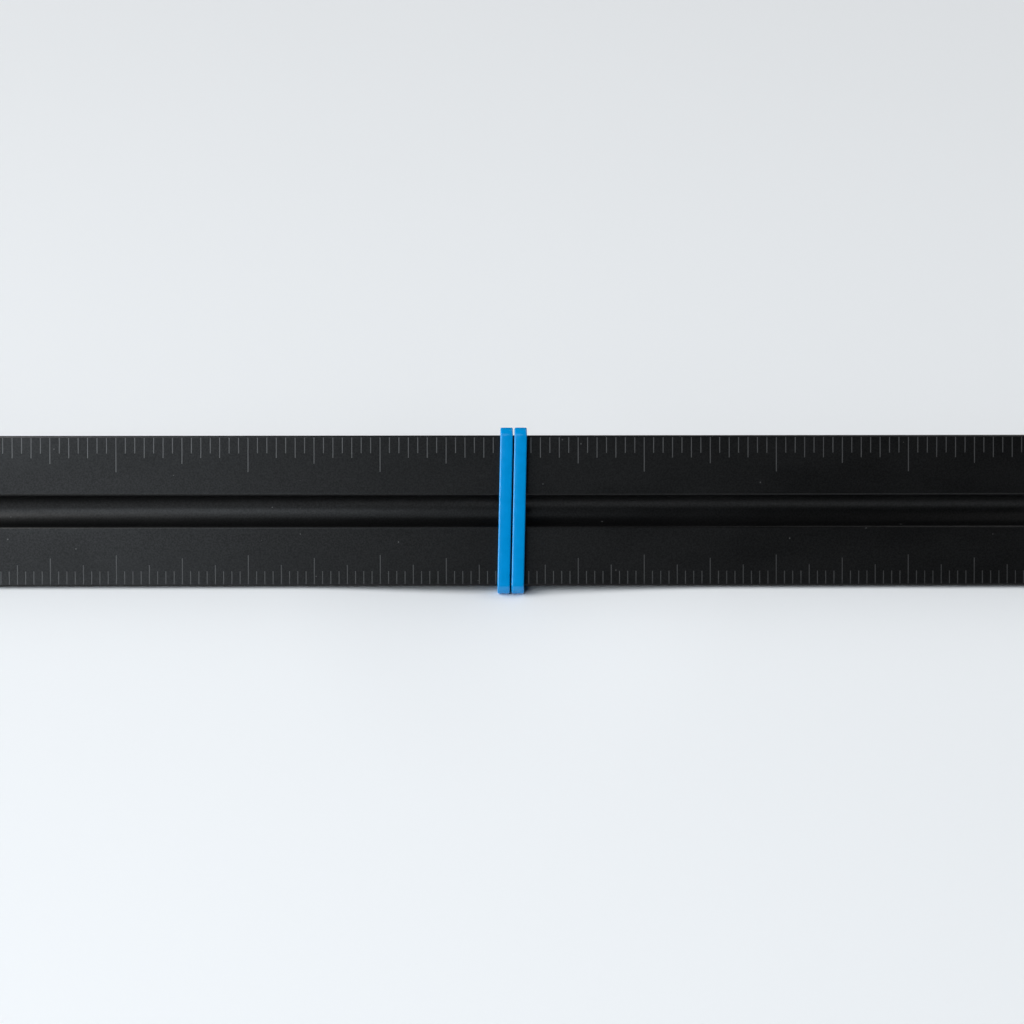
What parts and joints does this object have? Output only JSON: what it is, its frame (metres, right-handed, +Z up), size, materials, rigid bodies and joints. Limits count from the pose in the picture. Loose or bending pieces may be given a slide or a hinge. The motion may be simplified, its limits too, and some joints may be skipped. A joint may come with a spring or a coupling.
{
  "type": "triangular scale ruler",
  "caption": "Solid three-sided drafting scale with fluted faces and engraved edge graduations, and a wound rubber band that slides along it.",
  "frame": {"origin": "middle of the bar's length and width, on the surface that it lies on", "axes": "+X along the bar, +Y from the front face to the back, +Z up through the top edge"},
  "size_m": [0.312, 0.032, 0.0282],
  "materials": {
    "black_anodised": "satin black anodised, fine grain along the bar",
    "blue_rubber": "smooth matt rubber"
  },
  "bodies": {
    "bar": {"scale_bar": "black_anodised"},
    "band": {"rubber_band": "blue_rubber"}
  },
  "joints": [
    {"name": "band_slide", "type": "slide", "parent": "bar", "child": "band", "axis": [1, 0, 0], "range_m": [-0.15, 0.15]}
  ]
}
